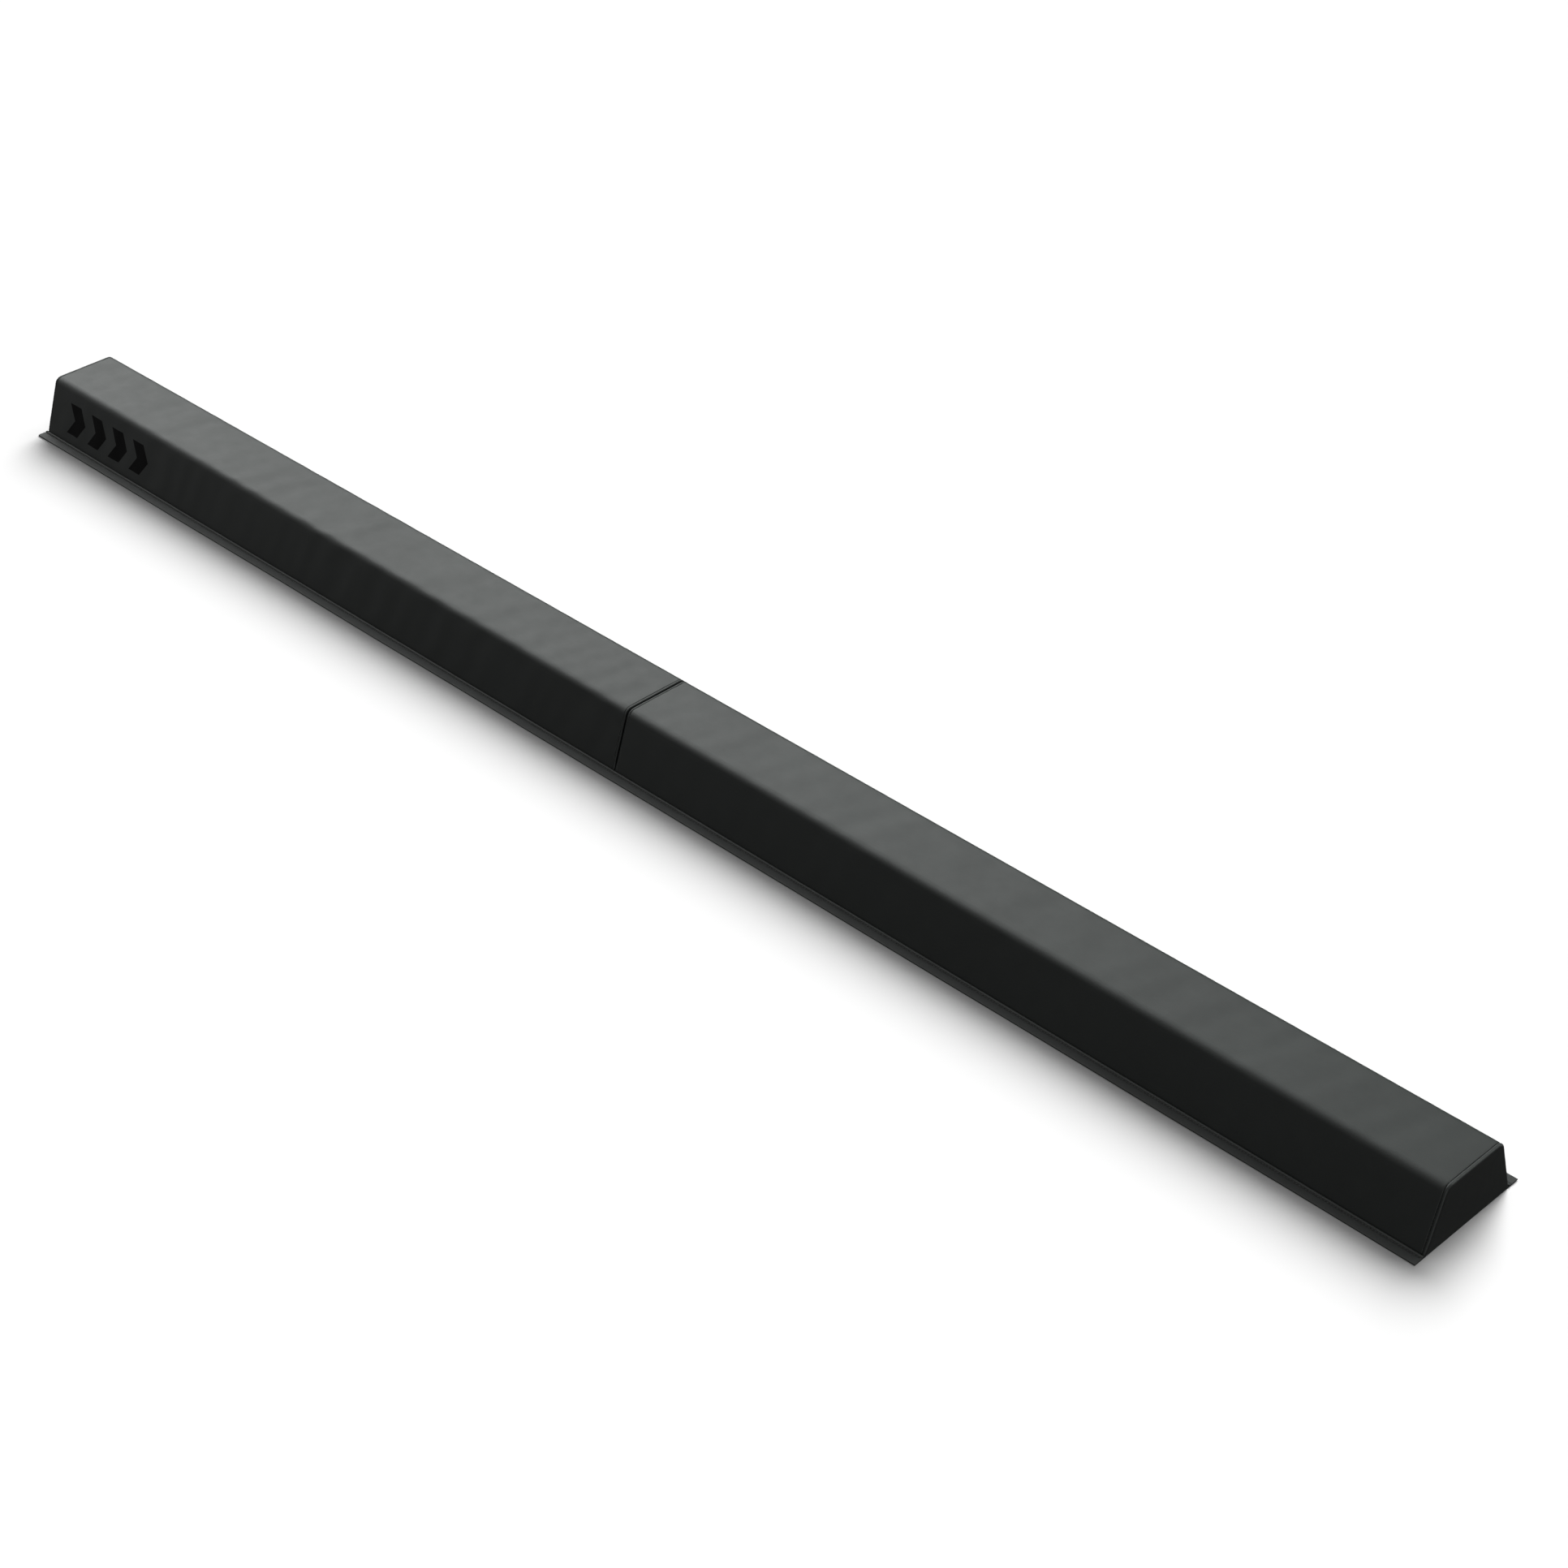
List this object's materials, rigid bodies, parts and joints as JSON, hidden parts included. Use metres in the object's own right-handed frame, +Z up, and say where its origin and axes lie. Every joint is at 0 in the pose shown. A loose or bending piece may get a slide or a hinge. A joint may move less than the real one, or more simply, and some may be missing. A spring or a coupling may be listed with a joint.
{
  "type": "folding floor balance beam",
  "caption": "Low foam gymnastics beam with a flat top and leaning sides, in a sewn cover on a flanged base sheet that folds in the middle.",
  "frame": {"origin": "on the floor, in the middle of the beam's length and width, at the fold line", "axes": "+X along the beam to the half that turns, +Y across the beam to its far side, +Z up"},
  "size_m": [2.4, 0.179, 0.0786],
  "materials": {
    "cover": "black synthetic leather, fine grain, satin",
    "base_sheet": "dark grey coated sheet, matt, fine non-slip grain",
    "thread": "black sewing thread",
    "core_foam": "firm closed-cell foam, cut faces",
    "soft_foam": "softer closed-cell foam, cut faces"
  },
  "bodies": {
    "left_half": {"foam_core_left": "core_foam", "foam_top_layer_left": "soft_foam", "cover_wrap_left": "cover", "end_panel_outer_left": "cover", "end_panel_hinge_left": "cover", "seam_thread_outer_left": "thread", "seam_thread_hinge_left": "thread", "base_sheet_left": "base_sheet", "hem_strip_near_left": "base_sheet", "hem_strip_far_left": "base_sheet", "hem_stitch_near_left": "thread", "hem_stitch_far_left": "thread"},
    "right_half": {"foam_core_right": "core_foam", "foam_top_layer_right": "soft_foam", "cover_wrap_right": "cover", "end_panel_outer_right": "cover", "end_panel_hinge_right": "cover", "seam_thread_outer_right": "thread", "seam_thread_hinge_right": "thread", "base_sheet_right": "base_sheet", "hem_strip_near_right": "base_sheet", "hem_strip_far_right": "base_sheet", "hem_stitch_near_right": "thread", "hem_stitch_far_right": "thread"}
  },
  "joints": [
    {"name": "fold", "type": "hinge", "parent": "left_half", "child": "right_half", "pos_m": [0, 0, -0.0002], "axis": [0, 1, 0], "range_deg": [0, 180]}
  ]
}
